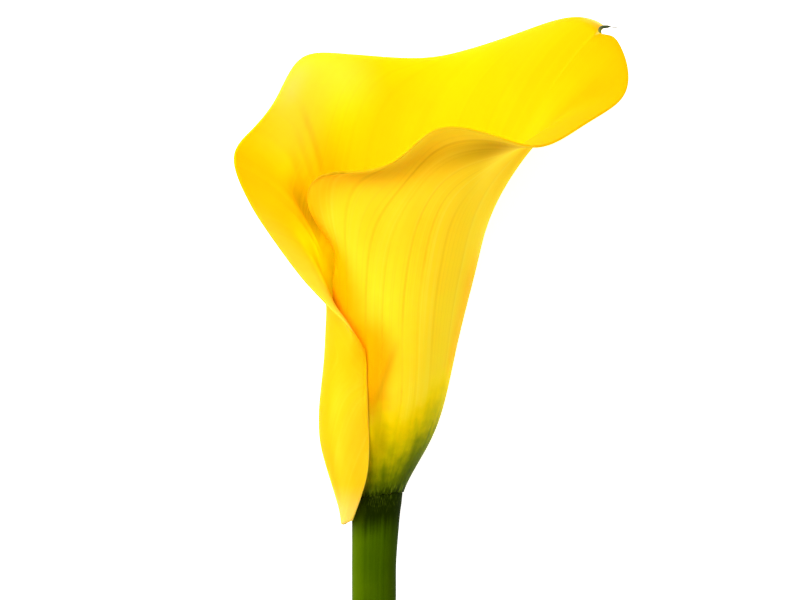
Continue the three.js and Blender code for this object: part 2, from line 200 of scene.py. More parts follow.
# The flap's free margin settles onto the front: height, and how far it goes down there
SETTLE = [
    (-4, 0), (0, 0.08), (4, 0.4), (8, 0.95), (12, 1.3), (15, 1.25), (18, 0.9),
    (22, 0.58), (26, 0.4), (30, 0.48), (33, 0.7), (36, 0.6), (39, 0.15), (41, 0),
]
SETTLE_WIDTH = 7  # how far from the margin that ends
THINNER = (0.4, 2.5)  # share by which it is thinner there, and over what width
THINNER_HEIGHTS = (-4, 12, 36, 41)  # where that sets in, is full, starts to fade and ends

# Soft wrinkles in the throat's left fold: s where each crosses WRINKLE_T, its lean (s for each
# t), its width in s, how far it sinks, or rises where that is below 0, and the t where it starts,
# is full, fades and ends
WRINKLE_T = 0.9
WRINKLES = [
    (0.222, 0.22, 0.018, 0.27, 0.83, 0.885, 0.9, 0.94),
    (0.2385, 0.19, 0.005, 0.2, 0.87, 0.9, 0.92, 0.96),
    (0.252, 0.2, 0.005, 0.12, 0.88, 0.91, 0.93, 0.97),
    (0.27, 0.2, 0.005, 0.14, 0.88, 0.91, 0.94, 0.97),
    (0.2085, 0.13, 0.0055, -0.25, 0.84, 0.88, 0.93, 0.98),
    (0.19, 0.1, 0.006, -0.15, 0.86, 0.9, 0.95, 0.99),
]

# The front bends in beside the throat
BEND_IN = 1.5
BEND_IN_HEIGHTS = (57.2, 5.2)  # its middle and width
BEND_IN_FROM = (0.9, 0.99)  # s over which it sets in

# Base margin: how far its teeth reach down, and the steps they are drawn in
TEETH = 0.3
TOOTH = 0.0075  # in s
FLAP_TEETH = 0.25  # share of that on the flap
FLAP_TEETH_TO = (0.12, 0.2)  # s over which they grow to their full depth
FREE_BASE = 0.3  # s up to which it hangs free
NO_HEM = 40  # a distance from it at which the dark foot has ended

# Mid green of the base: s, and the height it reaches on the outside
GREEN_REACH = [
    (0, -26), (0.1, -22), (0.17, -4), (0.26, 9), (0.36, 13.5), (0.5, 15), (0.6, 15),
    (0.64, 14.2), (0.68, 12.2), (0.7, 9.8), (0.72, 6.7), (0.75, 5.2), (0.8, 4.6),
    (0.83, 3.8), (0.86, 2), (1, 0),
]

# Painted shade under the rolled lip, an ochre band: s, t of its middle, and how strong it is
LIP_SHADE_BAND = [
    (0.62, 0.99, 0), (0.665, 0.98, 0.2), (0.7, 0.955, 1.3), (0.72, 0.935, 1.25),
    (0.745, 0.912, 0.85), (0.78, 0.91, 0.7), (0.8, 0.918, 0.65), (0.83, 0.935, 0.6),
    (0.86, 0.952, 0.6), (0.88, 0.95, 0.55), (0.91, 0.945, 0.35), (0.95, 0.94, 0),
]
LIP_SHADE_BAND_WIDTH = 0.036  # in t

# Lines on the sheet by which patches of colour are placed: their s, its growth for each t or mm
# of height, and the t or height where they have that s
FOLD = (0.79, 0.5, 0.5)  # beside the flap, with shifts that are placed as the patches below
FOLD_SHIFTS = [
    (0.03, {"height": (10, 18, 24, 30)}),
    (-0.016, {"height": (28, 33, 46, 50), "s": (0.86, 0.835)}),
]
WING = (0.2, -0.45, 0.9)  # end of the left wing, inside
SHADE_STREAK = (0.812, -0.002, 24)  # streak of painted shade, beside the flap
CORNER = (0.2215, -0.55, 0.89)  # left corner of the throat, which runs straight over that t
LOW_FRONT_SHIFT = 0.014  # how far the painted shade low on the front moves over, in s
LOW_FRONT_SHIFTS = (14, 20)  # height over which it does
WRINKLE_FULL = 0.125  # depth from which a wrinkle has its full ochre of painted shade
RIM_FADE = 2.6  # distance over which the painted shade along the back's rim fades

# Patches of colour on the outer and inner face: how strong each is, and where, by what
# measures() gives. Two numbers are where it is nothing and where it is full. Four are where it
# starts, is full, starts to fade and ends. "near" comes before its middle and its width. Without
# a number the value is the share itself.

# From yellow toward orange, partly the flower's own warmer tone and partly painted shade
OUTER_WARMTH_AND_SHADE = [
    # Flank, also low down, partly its own warmer tone and partly painted shade on the side away from
    # the light
    (0.25, {"s": (0.2, 0.4, 0.6, 0.7)}),
    (0.4, {"s": (0.4, 0.5, 0.63, 0.69), "height": (16, 26, 50, 62)}),
    # Painted shade in the fold beside the flap, and on the front under it
    (0.748, {"fold": (-0.04, 0.05), "t": (0.3, 0.45)}),
    (0.132, {"fold": (-0.04, 0.05), "t": (0.5, 0.68)}),
    (-0.352, {"fold": (-0.04, 0.05), "t": (0.74, 0.83)}),
    (0.25, {"s": (0.76, 0.825, 0.86, 0.92), "height": (14, 22, 36, 44)}),
    # Flap, its left side, and painted shadow of the curl on the strip along its margin
    (0.7, {"s": (0.3, 0.15)}),
    (-0.15, {"s": (0.3, 0.15), "height": (-4, 10)}),
    (0.2, {"s": (0.3, 0.15), "height": (20, 34)}),
    (0.5, {"s": (0.07, 0.13, 0.2, 0.3)}),
    (0.15, {"s": (0.012, 0.004), "height": (8, 16, 34, 40)}),
    # Upper front, and painted shade at the lip's left end and in the band under the lip
    (0.25, {"s": (0.72, 0.78), "t": (0.6, 0.8)}),
    (0.15, {"s": (0.8, 0.86), "t": (0.6, 0.8)}),
    (0.4, {"s": (0.83, 0.95), "t": (0.84, 0.94)}),
    (0.05, {"band": ()}),
    (0.3, {"band": (), "s": (0.76, 0.7)}),
]
# Ochre on the outside, all of it painted shade
OUTER_OCHRE_SHADE = [
    # Painted shade in the band under the lip, and from it up to the rim
    (0.6, {"band": ()}),
    (0.12, {"s": (0.67, 0.71, 0.8, 0.9), "rim": (6, 1)}),
    # Painted shade on the rim's edge
    (0.25, {"s": (0.71, 0.74, 0.8, 0.9), "rim": ("near", 0, 0.4)}),
    (0.85, {"s": (0.84, 0.88), "rim": ("near", 0, 0.6)}),
    # Painted shadow beside the flap, and painted shade higher up by the fold
    (0.34, {"s": (0.775, 0.825, 0.826, 0.852), "height": (8, 20, 30, 42)}),
    (0.16, {"s": (0.9, 0.96), "height": (36, 44, 50, 58)}),
]
# Painted shade beside the flap: darker ochre over the green
OUTER_SHADE = [
    (0.42, {"low_front": (0.772, 0.8, 0.815, 0.84), "height": (6, 12, 18, 29)}),
    (0.28, {"streak": ("near", 0, 0.008), "height": (20, 28, 32, 38)}),
]
# The flap's low end
OUTER_PALE = [(0.4, {"height": (3, -5.5)})]
# How plain the veins are: flap, flank, front, and the lip's left end
OUTER_VEINING = [
    (0.3, {"s": (0.3, 0.1), "t": (0.12, 0.3)}),
    (0.4, {"s": (0.1, 0.3)}),
    (0.6, {"s": (0.66, 0.77)}),
    (-0.8, {"s": (0.86, 0.93), "t": (0.78, 0.9)}),
]

# The same inside, where below 0 it is a purer, lemon yellow that stands for painted light
INNER_WARMTH_AND_SHADING = [
    # Right side, and painted shade on its low lobe and along the back's rim, where they roll away
    (0.48, {"s": (0.4, 0.52)}),
    (-0.24, {"s": (0.4, 0.52), "rim": ("near", 0, 5)}),
    (0.8, {"s": (0.565, 0.61, 0.68, 0.72)}),
    (0.8, {"s": (0.31, 0.37, 0.57, 0.6), "by_rim": ()}),
    # Painted shade on the left rim, and painted light on the upper left and down the throat
    (0.3, {"s": (0.18, 0.13), "rim": ("near", 0, 6)}),
    (-0.48, {"s": (0.2, 0.24, 0.33, 0.39), "t": (0.86, 0.94)}),
    (-0.25, {"t": (0.93, 0.78)}),
    # Painted light on the left wing, weaker toward its rim
    (-1, {"s": (0.1, 0.125), "wing": (0.022, -0.022), "t": (0.975, 0.935)}),
    (0.45, {"s": (0.122, 0.145), "wing": (0.022, -0.022), "t": (0.865, 0.905, 0.935, 0.975)}),
]
INNER_OCHRE_AND_SHADE = [
    # Spot by the green point
    (0.7, {"s": ("near", TIP - 0.006, 0.006), "rim": ("near", 1.3, 0.9)}),
    # Painted shade in the throat, in its left corner, and in its wrinkles
    (0.32, {"s": (0.19, 0.225, 0.26, 0.3), "t": (0.9, 0.86)}),
    (0.52, {"corner": ("near", 0, 0.0165), "t": (0.83, 0.895, 0.905, 0.945)}),
    (0.2, {"wrinkled": ()}),
    # Left end of the rim, and the right lobe's lower part
    (0.85, {"s": (0.8, 0.88), "rim": ("near", 0, 1)}),
    (0.16, {"s": (0.6, 0.63, 0.68, 0.71), "rim": (16, 6)}),
]
# Painted highlight on the upper left, and pale on the left rim and on the rim before the tip
INNER_PALE_AND_HIGHLIGHT = [
    (0.35, {"s": ("near", 0.292, 0.022), "rim": ("near", 2.2, 3)}),
    (0.12, {"s": (0.22, 0.27, 0.33, 0.38), "rim": ("near", 8, 7)}),
    (0.14, {"s": (0.2, 0.13), "rim": ("near", 0, 5)}),
    (0.8, {"s": (0.525, 0.535, TIP, 0.55), "rim": ("near", 0, 0.8)}),
]
INNER_VEINING = [(0.25, {}), (0.35, {"s": (0.565, 0.62)})]
WARMEST = 1.1  # warmth of the outside at most: over 1, so that no streak thins it out

# Tones of each face of the spathe: its yellow, a deeper and a lighter one, ochre, mostly for painted
# shade, and pale, inside also for a painted highlight
OUTSIDE_TONES = ("#ffe02c", "#ffd620", "#ffe848", "#b48800", "#ffd078")
INSIDE_TONES = ("#ffca00", "#ffc200", "#ffd204", "#967c00", "#ffe27c")
# Orange for the warmer tone and for painted shade, lemon for painted light
ORANGE = "#ffb000"
LEMON = "#fff200"
GREEN_DEPTHS = (-20, 10)  # the green runs from this high over its reach to this far below it
# Greens of the base: share of that depth, and tone
GREENS = [
    (0.1, "#fcdc08"), (0.3, "#edcd00"), (0.5, "#c4b400"),
    (0.66, "#868a00"), (0.77, "#626e00"), (1, "#3f4f00"),
]

# Scales of the noises, those of streaks across and along the veins or the stem
STREAKS = (90, 1)
BANDS = (24, 1)
VEIN_PATCHES = (13, 5)
TONGUES = (34, 5)
HEM_FLECKS = (85, 0.4)
FIBRES = (34, 0.012)
STEM_FLECKS = (230, 0.6)
CLOUDS = 34
BUNDLES = 900
FINE_VEINS = 5  # to each vein

# Green point: x, y, z and radius along it
POINT = [
    (54, 111.3, -17.6, 0.3),
    (53.85, 111.9, -17.6, 0.38),
    (53.85, 112.6, -17.7, 0.4),
    (54.5, 113.05, -17.8, 0.42),
    (55.3, 113.15, -17.9, 0.4),
    (56, 113.2, -17.9, 0.3),
    (56.4, 113.15, -17.9, 0.13),
    (57.9, 113, -17.9, 0.1),
    (59.8, 113.35, -17.9, 0.04),
    (61.6, 113.1, -17.9, 0.03),
]
POINT_RINGS = 60
POINT_SIDES = 16

# Spadix
SPADIX_BASE = 3.3
SPADIX_TOP = 60
SPADIX_RADIUS = 3.9
SPADIX_TAPER = 0.5
SPADIX_TIP = 7  # length of its rounded end
SPADIX_X = -0.4  # of its foot
SPADIX_LEAN = 0.09  # how it follows the throat toward the right
CORE_RINGS = 90
CORE_SIDES = 40
CORE_RADIUS = 0.2  # at its end
FLORET = 0.85  # spacing of its florets
FLORET_WIDTHS = (1.12, 1.3)  # least and most, in spacings
FLORET_SIDES = 8
# Rings of a floret's dome, in half widths: radius, height, and how much crown it is
FLORET_RINGS = [(1, -0.5, 0), (0.98, 0.1, 0.35), (0.72, 0.5, 0.8), (0.3, 0.58, 1)]
FLORET_DIMPLE = (0.42, 0.55)  # height and crown of its middle
FLORET_STARTS = (0.4, 0.02)  # room left under the first and over the last
FLORET_CROWDING = 0.35  # radius at the tip below which they don't crowd more

# Stem: height, x and radius down to the straight stretch
STEM_TOP = [
    (-1.6, -0.62, 6.05),
    (-2.4, -0.72, 5.98),
    (-4, -0.88, 5.86),
    (-7, -1.05, 5.7),
    (-11.5, -1.23, 5.5),
    (-17, -1.42, 5.33),
    (-23, -1.44, 5.3),
]
STEM_RADIUS = 5.3
STEM_SHELF = 2.8  # how far the stem's top widens under the flap, which it carries
SHELF_ANGLES = (85, 93, 152, 194)  # degrees from the front over which it does
SHELF_DEPTH = (2.5, 4)  # depth over which it narrows to the stem again
STEM_X = -1.44
STEM_END = -146
STEM_BEND_FROM = -86  # below this it curves until it lies flat
STEM_LEAN = -0.03  # sideways drift below the bend
STEM_CUT_SLOPE = 0.7
STEM_SIDES = 96
STEM_TOP_RINGS = 40
STEM_RINGS = 150
SHOULDER_DEPTH = 0.9  # from the collar to the first ring of the stem's skin
# Rounding of the stem's shoulder: share of the way out from the neck, and drop
SHOULDER = [(0.5, 0), (0.9, 0), (0.98, 0.06), (1, 0.2)]
NECK_RADIUS = 4.4  # of the short neck that the spathe wraps
NECK_TOP = 2.9
NECK_ROUNDING = [(2.2, 0), (0.7, 0), (0.2, 0.2), (0, 0.7)]  # inset and drop
CLEARANCE = 0.1
CUT_ROOM = 8  # height over the end that the slanted cut may take up
CUT_EDGE = 0.25  # width of its rounded edge
CUT_BULGE = 0.12
CUT_RINGS = (0.985, 0.95, 0.9, 0.8, 0.6, 0.4, 0.2, 0.02)  # shares of its radius

# Studio, in metres and watts
TABLE_REACH = 3
WORLD_STRENGTH = 0.5
LIGHT_PLACE = (-0.6, 0.6, 1.25)
LIGHT_TARGET = (0, 0.06, 0.02)
LIGHT_SIZE = 1.6
LIGHT_POWER = 28


def lerp(a, b, share):
    return a + (b - a) * share


def smoothstep(value, low, high):
    share = np.clip((value - low) / (high - low), 0, 1)
    return share * share * (3 - 2 * share)


def hill(value, foot, rise, fall, end):
    """0 up to foot, 1 from rise to fall, and 0 again from end."""
    return smoothstep(value, foot, rise) * (1 - smoothstep(value, fall, end))


def bell(distance, width):
    return np.exp(-((distance / width) ** 2))


def cos_deg(angle):
    return np.cos(np.radians(angle))


def sin_deg(angle):
    return np.sin(np.radians(angle))


def spline(rows):
    """A natural cubic spline through rows of (x, value, ...), as a function of an array."""
    table = np.array(rows, float)
    x, y = table[:, 0], table[:, 1:]
    h = np.diff(x)
    n = len(x)
    system = np.eye(n)
    kinks = np.zeros_like(y)
    for i in range(1, n - 1):
        system[i, i - 1 : i + 2] = h[i - 1], 2 * (h[i - 1] + h[i]), h[i]
        kinks[i] = 6 * ((y[i + 1] - y[i]) / h[i] - (y[i] - y[i - 1]) / h[i - 1])
    bends = np.linalg.solve(system, kinks)

    def at(places):
        places = np.asarray(places, float)
        i = np.clip(np.searchsorted(x, places, side="right") - 1, 0, n - 2)
        p = ((x[i + 1] - places) / h[i])[..., None]
        q = 1 - p
        bow = (p**3 - p) * bends[i] + (q**3 - q) * bends[i + 1]
        return p * y[i] + q * y[i + 1] + bow * h[i][..., None] ** 2 / 6

    return at


def lay(points):
    """From the upright frame to where the flower lies, with its underside pressed flat."""
    x, y, z = np.moveaxis(np.asarray(points, float), -1, 0)
    laid_y = y * math.cos(TILT) - z * math.sin(TILT)
    laid_z = y * math.sin(TILT) + z * math.cos(TILT) + COLLAR_LIFT
    middle_x, middle_y = FOOTPRINT_MIDDLE
    return np.stack([x - middle_x, laid_y - middle_y, np.maximum(laid_z, 0)], -1) * MM


tube = spline(TUBE)
flap_margin = spline(FLAP_MARGIN)
throat = spline(THROAT)
rim = spline(RIM)
green_reach = spline(GREEN_REACH)
lip = spline(LIP_SHADE_BAND)
settle = spline(SETTLE)


def angle_at(s, height):
    return lerp(flap_margin(height)[..., 0], INNER_ANGLE, s)


def tube_point(s, height):
    angle = angle_at(s, height)
    middle, radius, stand = np.moveaxis(tube(height), -1, 0)
    standing = stand * (1 - smoothstep(angle, *OUTER_FADE))
    tucked = np.maximum(0, INNER_STEP - stand) * smoothstep(angle, *INNER_TUCK)
    r = radius + standing - tucked
    return np.stack([middle - r * sin_deg(angle), height, r * cos_deg(angle)], -1)


def collar_at(angle):
    """Height of the collar round the axis, a slightly tilted ring."""
    return COLLAR_HEIGHT + COLLAR_SLOPE * cos_deg(angle - COLLAR_HIGH_SIDE)


def teeth(s):
    """Height of the base margin's teeth, a row of steps at even places with a seeded draw."""
    draw = np.random.default_rng(11)
    heights = draw.uniform(-1, 1, int(1 / TOOTH) + 2)
    depth = TEETH * lerp(FLAP_TEETH, 1, smoothstep(s, *FLAP_TEETH_TO))
    return depth * np.interp(s / TOOTH, np.arange(len(heights)), heights)


def base_at(s):
    """Lower margin of the sheet: along the collar, and down round the hanging outer corner."""
    angle = lerp(FLAP_CORNER, INNER_ANGLE, s)
    hanging = smoothstep(angle, *FLAP_FALL) * (1 - smoothstep(angle, *FLAP_RISE))
    return collar_at(angle) - FLAP_DROP * hanging + teeth(s)


def limb_at(s):
    """Rim and shoulder, with the nick drawing the rim in toward the shoulder at the tip."""
    both = rim(s)
    edge, shoulder = both[..., :3], both[..., 3:]
    inward = shoulder - edge
    inward /= np.linalg.norm(inward, axis=-1, keepdims=True)
    nick = NICK_DEPTH * bell(s - TIP, np.where(s < TIP, *NICK_WIDTHS))
    return shoulder, edge + inward * nick[..., None]


def rib_controls(s):
    """Control points of the lines of the sheet from base to rim, one line for each s."""
    top = TUBE_ROWS[-1]
    opens = throat(s)[..., 0]
    heights = [base_at(s)]
    heights += [np.full_like(s, height) for height in TUBE_ROWS]
    heights += [lerp(top, opens, share / 3) for share in (1, 2, 3)]
    rows = [tube_point(s, height) for height in heights]
    return np.stack([*rows, *limb_at(s)], 1)


def rib_weights(t, count):
    """How far each of count control points counts at t, on a clamped cubic B-spline."""
    spans = count - 3
    knots = np.concatenate([[0] * 3, np.arange(spans + 1), [spans] * 3]).astype(float)
    u = np.clip(t * spans, 0, spans - 1e-9)[:, None]
    weights = ((knots[:-1] <= u) & (u < knots[1:])).astype(float)
    for degree in (1, 2, 3):
        start, end = knots[: -degree - 1], knots[degree + 1 :]
        reach = knots[degree:-1] - start
        back = end - knots[1 : len(end) + 1]
        rise = np.divide(u - start, reach, out=np.zeros((len(u), len(start))), where=reach > 0)
        fall = np.divide(end - u, back, out=np.zeros((len(u), len(end))), where=back > 0)
        weights = rise * weights[:, :-1] + fall * weights[:, 1:]
    return weights


def sheet_points(s, t):
    """Points of the sheet's middle face, on the grid of every s with every t."""
    controls = rib_controls(np.clip(s, 0, 1))
    weights = rib_weights(np.clip(t, 0, 1), controls.shape[1])
    return np.einsum("jk,ikd->ijd", weights, controls)


def places(by_margin, runs):
    """Places from 0 to 1: close together by both margins, in runs of even steps between."""
    found = [0.0, *by_margin]
    for end, count in runs:
        found += list(np.linspace(found[-1], end, count + 1)[1:])
    found += [1 - place for place in by_margin[-2::-1]]
    return np.array([*found, 1.0])


def unit(vectors):
    return vectors / np.maximum(np.linalg.norm(vectors, axis=-1, keepdims=True), 1e-12)


def to_margins(points, axis):
    """Distances of each grid point from the first and last margin, along one way of the grid."""
    steps = np.linalg.norm(np.diff(points, axis=axis), axis=-1)
    pad = [(0, 0), (0, 0)]
    pad[axis] = (1, 0)
    gone = np.pad(np.cumsum(steps, axis=axis), pad)
    whole = np.take(gone, [-1], axis=axis)
    return gone, whole - gone


def grid_faces(number):
    """Four-sided faces between the numbered points of a grid."""
    corners = number[:-1, :-1], number[1:, :-1], number[1:, 1:], number[:-1, 1:]
    return np.stack(corners, -1).reshape(-1, 4)


def add_object(name, data):
    added = bpy.data.objects.new(name, data)
    bpy.context.scene.collection.objects.link(added)
    return added


def new_piece(name, points, faces, attributes, materials):
    """A smooth mesh piece of the flower, from points in its own frame, with a number for each
    point in each attribute."""
    mesh = bpy.data.meshes.new(name)
    mesh.from_pydata(lay(points).tolist(), [], [list(face) for face in faces])
    mesh.polygons.foreach_set("use_smooth", [True] * len(mesh.polygons))
    for key, values in attributes.items():
        attribute = mesh.attributes.new(key, "FLOAT", "POINT")
        attribute.data.foreach_set("value", np.asarray(values, np.float32).ravel())
    for material in materials:
        mesh.materials.append(material)
    piece = add_object(name, mesh)
    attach(piece, "root")
    return piece


# Node helpers

class Nodes:
    """A material's node tree, with short names for the nodes that the finishes use."""

    def __init__(self, name):
        self.material = bpy.data.materials.new(name)
        self.material.use_nodes = True
        self.tree = self.material.node_tree
        self.tree.nodes.clear()
        self.shader = self.node("BsdfPrincipled")
        self.node("OutputMaterial", Surface=self.shader.outputs["BSDF"])

    def put(self, socket, value):
        """Puts a number, a colour or another node's output into a socket."""
        if isinstance(value, bpy.types.NodeSocket):
            self.tree.links.new(value, socket)
        else:
            socket.default_value = colour(value) if isinstance(value, str) else value

    def feed(self, node, **inputs):
        """Feeds inputs of a node, by names that have underscores for spaces."""
        for name, value in inputs.items():
            self.put(node.inputs[name.replace("_", " ")], value)
        return node

    def node(self, kind, settings=(), **inputs):
        node = self.tree.nodes.new("ShaderNode" + kind)
        for name, value in dict(settings).items():
            setattr(node, name, value)
        return self.feed(node, **inputs)

    def attribute(self, name):
        return self.node("Attribute", {"attribute_name": name}).outputs["Fac"]

    def position(self):
        return self.node("TexCoord").outputs["Object"]

    def math(self, operation, first, second):
        node = self.node("Math", {"operation": operation})
        self.put(node.inputs[0], first)
        self.put(node.inputs[1], second)
        return node.outputs["Value"]

    def times(self, first, second):
        return self.math("MULTIPLY", first, second)

    def plus(self, first, second):
        return self.math("ADD", first, second)

    def spread(self, noise, size):
        """The noise as a number on both sides of 0."""
        return self.times(self.math("SUBTRACT", noise, 0.5), size)

    def ramp(self, value, low, high, out_low=0.0, out_high=1.0, kind="SMOOTHSTEP"):
        """out_low where value is at low, turning smoothly into out_high where it is at high."""
        reach = {"From_Min": low, "From_Max": high, "To_Min": out_low, "To_Max": out_high}
        node = self.node("MapRange", {"interpolation_type": kind}, Value=value, **reach)
        return node.outputs["Result"]

    def mix(self, share, first, second):
        node = self.node("Mix", {"data_type": "RGBA"}, Factor=share, A=first, B=second)
        return node.outputs["Result"]

    def gradient(self, value, stops):
        """Colours by value, from stops of (value, colour)."""
        node = self.node("ValToRGB", Fac=value)
        elements = node.color_ramp.elements
        while len(elements) < len(stops):
            elements.new(1.0)
        for element, (at, tone) in zip(elements, stops):
            element.position = at
            element.color = colour(tone)
        return node.outputs["Color"]

    def noise(self, place, scale, detail):
        return self.node("TexNoise", Vector=place, Scale=scale, Detail=detail).outputs["Fac"]

    def streaks(self, across, along, scales, detail):
        """Noise drawn out into streaks, with a scale across them and one along them."""
        x, y = self.times(across, scales[0]), self.times(along, scales[1])
        return self.noise(self.node("CombineXYZ", X=x, Y=y).outputs["Vector"], 1.0, detail)

    def lines(self, across, count, width, jitter):
        """1 on count thin lines that lie at uneven steps of across, falling to 0 beside them."""
        cells = {"W": across, "Scale": count, "Randomness": jitter}
        node = self.node("TexVoronoi", {"voronoi_dimensions": "1D"}, **cells)
        return self.ramp(node.outputs["Distance"], 0.0, width, 1.0, 0.0)

    def bump(self, height, distance, under=None):
        node = self.node("Bump", Strength=1.0, Distance=distance * MM, Height=height)
        if under is not None:
            self.feed(node, Normal=under)
        return node.outputs["Normal"]

    def finish(self, skin, normal=None, scatter=None, *, roughness, gloss):
        """Feeds the shader. Where light scatters inside, scatter is how much of it does, how far
        for red, green and blue, and the length that those are shares of."""
        self.feed(self.shader, Base_Color=skin, Roughness=roughness, Specular_IOR_Level=gloss)
        if normal is not None:
            self.feed(self.shader, Normal=normal)
        if scatter is not None:
            share, reach, length = scatter
            self.feed(self.shader, Subsurface_Weight=share, Subsurface_Radius=reach)
            self.feed(self.shader, Subsurface_Scale=length * MM)
        return self.material


def colour(text):
    """A colour for a socket, from its sRGB hex digits."""
    shares = [int(text[i : i + 2], 16) / 255 for i in (1, 3, 5)]
    linear = [c / 12.92 if c <= 0.04045 else ((c + 0.055) / 1.055) ** 2.4 for c in shares]
    return (*linear, 1.0)


# Finishes: numbers in a ramp are where it starts and ends, and what it gives there

def petal_skin(n, yellow, deeper, lighter, ochre, pale):
    """Colour of both faces of the spathe: clouded yellow, orange where it is warm and for painted
    shade, lemon for painted light, and veins.
    """
    vein = n.attribute("vein")
    along = n.attribute("along")
    veining = n.attribute("veining")
    warmth_and_shading = n.attribute("warmth_and_shading")
    streaks = n.streaks(vein, along, STREAKS, 2)
    bands = n.streaks(vein, along, BANDS, 1)
    patchy = n.streaks(vein, along, VEIN_PATCHES, 1)
    clouds = n.noise(n.position(), CLOUDS, 2)
    main_veins = n.lines(vein, VEINS, 0.1, 0)
    fine_veins = n.lines(vein, VEINS * FINE_VEINS, 0.22, 0.8)

    skin = n.mix(n.ramp(clouds, 0.3, 0.7), yellow, deeper)
    skin = n.mix(n.ramp(bands, 0.4, 0.75, 0, 0.5), skin, deeper)
    skin = n.mix(n.ramp(streaks, 0.25, 0.5, 0.35, 0), skin, lighter)
    # Toward orange for the warmer tone and painted shade, toward lemon for painted light
    warmth_and_shading = n.plus(warmth_and_shading, n.times(n.spread(streaks, 0.3), warmth_and_shading))
    skin = n.mix(n.ramp(warmth_and_shading, 0, 1), skin, ORANGE)
    skin = n.mix(n.ramp(warmth_and_shading, 0, -1), skin, LEMON)
    lines = n.times(n.ramp(along, 0.12, 0.4), n.ramp(patchy, 0.35, 0.6, 0.35, 1))
    lines = n.times(lines, veining)
    skin = n.mix(n.times(n.times(main_veins, lines), 0.3), skin, "#cc9800")
    skin = n.mix(n.times(n.times(fine_veins, lines), 0.12), skin, "#c99600")
    # Ochre, mostly painted shade, broken up by the streaks
    streaked_ochre_shade = n.times(n.attribute("ochre"), n.ramp(streaks, 0.3, 0.6, 0.85, 1.1))
    skin = n.mix(n.times(streaked_ochre_shade, 0.8), skin, ochre)
    # Pale, inside also a painted highlight
    skin = n.mix(n.attribute("pale"), skin, pale)
    return skin, streaks, n.times(main_veins, veining)


def petal_finish(n, skin, veins, gloss):
    skin = n.mix(n.ramp(n.attribute("margin"), 0.02, 0.2, 0.25, 0), skin, "#ffea60")
    cells = n.noise(n.position(), 5200, 1)
    normal = n.bump(cells, 0.01, n.bump(veins, -0.02))
    return n.finish(skin, normal, (0.6, (1, 0.62, 0.12), 0.9), roughness=0.5, gloss=gloss)


def outside_finish():
    n = Nodes("petal_outside")
    skin, streaks, veins = petal_skin(n, *OUTSIDE_TONES)
    vein = n.attribute("vein")
    hem = n.attribute("hem")

    # Green of the base, which ends ragged
    tongues = n.streaks(vein, n.attribute("along"), TONGUES, 2)
    ragged = n.plus(n.spread(streaks, 3), n.ramp(tongues, 0.45, 0.9, 0, 4.5))
    mottle = n.spread(n.noise(n.position(), 400, 4), 7)
    depth = n.plus(n.attribute("green"), n.plus(ragged, mottle))
    green = n.gradient(n.ramp(depth, *GREEN_DEPTHS, kind="LINEAR"), GREENS)
    skin = n.mix(n.ramp(depth, -19, -11), skin, green)
    # Painted shade beside the flap: darker ochre over the green
    skin = n.mix(n.attribute("shade"), skin, "#947400")

    # Dark foot by the collar, with pale flecks and a ragged edge
    flecks = n.streaks(vein, hem, HEM_FLECKS, 2)
    fleck = n.times(n.ramp(flecks, 0.45, 0.75), n.ramp(hem, 1.6, 4.2, 0.55, 0))
    edge = n.plus(hem, n.spread(flecks, 5))
    skin = n.mix(n.ramp(hem, 0.5, 5, 0.7, 0), skin, "#3c4c00")
    skin = n.mix(fleck, skin, "#76861a")
    skin = n.mix(n.ramp(edge, -0.2, 2.4, 0.9, 0), skin, "#1e2c00")
    return petal_finish(n, skin, veins, gloss=0.008)


def inside_finish():
    n = Nodes("petal_inside")
    skin, _, veins = petal_skin(n, *INSIDE_TONES)
    skin = n.mix(n.ramp(n.attribute("hem"), 1, 9, 0.8, 0), skin, "#78860c")
    return petal_finish(n, skin, veins, gloss=0.01)


def point_finish():
    """Green, browner toward the hair, which is dry and pale."""
    n = Nodes("point")
    along = n.attribute("along")
    skin = n.mix(n.ramp(along, 0, 0.35), "#7c8a10", "#2c3d04")
    skin = n.mix(n.ramp(along, 0.55, 0.75), skin, "#2a2a14")
    skin = n.mix(n.ramp(along, 0.75, 1), skin, "#b0a890")
    speckle = n.noise(n.position(), 2500, 3)
    skin = n.mix(n.ramp(speckle, 0.4, 0.8, 0, 0.4), skin, "#1f2d06")
    return n.finish(skin, n.bump(speckle, 0.05), roughness=0.55, gloss=0.5)


def spadix_finish():
    """Florets of uneven yellow with darker gaps between them, dusted with pollen."""
    n = Nodes("florets")
    body = n.mix(n.ramp(n.attribute("tint"), 0, 1), "#f0a800", "#ffc408")
    skin = n.mix(n.ramp(n.attribute("crown"), 0.2, 0.9), "#c07c00", body)
    grains = n.noise(n.position(), 4200, 2)
    skin = n.mix(n.ramp(grains, 0.5, 0.75, 0, 0.5), skin, "#ffdc30")
    scatter = (0.3, (1, 0.5, 0.1), 0.5)
    return n.finish(skin, n.bump(grains, 0.05), scatter, roughness=0.75, gloss=0.05)


